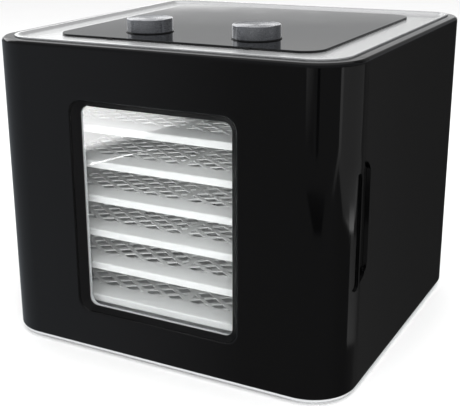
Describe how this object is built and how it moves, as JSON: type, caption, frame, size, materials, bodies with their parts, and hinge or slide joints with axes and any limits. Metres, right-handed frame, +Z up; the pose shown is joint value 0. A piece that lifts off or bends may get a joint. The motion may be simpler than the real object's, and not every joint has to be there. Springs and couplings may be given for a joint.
{
  "type": "food dehydrator",
  "caption": "Cabinet food dehydrator with a rounded full-front windowed door, mesh trays, a rear fan and heater, and rotary controls in a top glass plate.",
  "frame": {"origin": "centre of the cabinet's footprint, on the surface it stands on", "axes": "+Z up, -Y towards the door, +X to the right as one faces the door"},
  "size_m": [0.34, 0.332, 0.2944],
  "materials": {
    "black_gloss": "high gloss",
    "silver_top": "satin",
    "control_glass": "polished, opaque back",
    "window_glass": "polished",
    "knob_metal": "satin, turned",
    "dark_plastic": "satin",
    "tray_white": "satin",
    "liner_white": "satin",
    "base_grey": "matte",
    "steel": "brushed",
    "zinc": "bright zinc",
    "gasket": "matte",
    "motor_black": "satin",
    "heater_steel": "heat-darkened"
  },
  "bodies": {
    "cabinet": {"side_shell_left": "black_gloss", "side_shell_right": "black_gloss", "scoop_cup": "black_gloss", "rear_cover": "black_gloss", "mains_inlet": "dark_plastic", "base_plate": "base_grey", "front_frame": "liner_white", "cavity_left": "liner_white", "cavity_right": "liner_white", "cavity_top": "liner_white", "cavity_floor": "liner_white", "rear_baffle": "liner_white", "door_magnet": "motor_black", "hinge_bracket_lower": "zinc", "hinge_bracket_upper": "zinc", "top_panel": "silver_top", "control_glass": "control_glass", "glass_tab_left": "dark_plastic", "glass_tab_right": "dark_plastic", "knob_ring_left": "dark_plastic", "knob_ring_right": "dark_plastic", "timer_body": "dark_plastic", "thermostat_body": "liner_white", "control_bracket": "zinc", "fan_motor": "motor_black", "motor_bracket": "zinc", "heating_element": "heater_steel", "thermal_cutout": "steel", "rear_cover_screw_1": "zinc", "foot_1": "base_grey", "bracket_screw_1": "steel", "rear_cover_screw_2": "zinc", "foot_2": "base_grey", "bracket_screw_2": "steel", "rear_cover_screw_3": "zinc", "foot_3": "base_grey", "bracket_screw_3": "steel", "rear_cover_screw_4": "zinc", "foot_4": "base_grey", "bracket_screw_4": "steel", "tray_1": "tray_white", "tray_2": "tray_white", "tray_3": "tray_white", "tray_4": "tray_white", "tray_5": "tray_white", "tray_6": "tray_white"},
    "door": {"door_panel": "black_gloss", "window_pane": "window_glass", "door_liner": "liner_white", "door_gasket": "gasket", "door_keeper": "zinc", "hinge_pin_lower": "zinc", "hinge_pin_upper": "zinc"},
    "timer_knob": {"timer_knob": "knob_metal", "timer_shaft": "steel"},
    "thermostat_knob": {"thermostat_knob": "knob_metal", "thermostat_shaft": "steel"},
    "fan": {"fan_impeller": "motor_black", "fan_shaft": "steel"}
  },
  "joints": [
    {"name": "door_hinge", "type": "hinge", "parent": "cabinet", "child": "door", "pos_m": [-0.165, -0.13, 0.14], "axis": [0, 0, -1], "range_deg": [0, 100]},
    {"name": "timer_turn", "type": "hinge", "parent": "cabinet", "child": "timer_knob", "pos_m": [-0.053, -0.075, 0.284], "axis": [0, 0, -1], "range_deg": [0, 300]},
    {"name": "thermostat_turn", "type": "hinge", "parent": "cabinet", "child": "thermostat_knob", "pos_m": [0.053, -0.075, 0.284], "axis": [0, 0, -1], "range_deg": [0, 270]},
    {"name": "fan_spin", "type": "hinge", "parent": "cabinet", "child": "fan", "pos_m": [0, 0.128, 0.133], "axis": [0, 1, 0], "continuous": true}
  ]
}
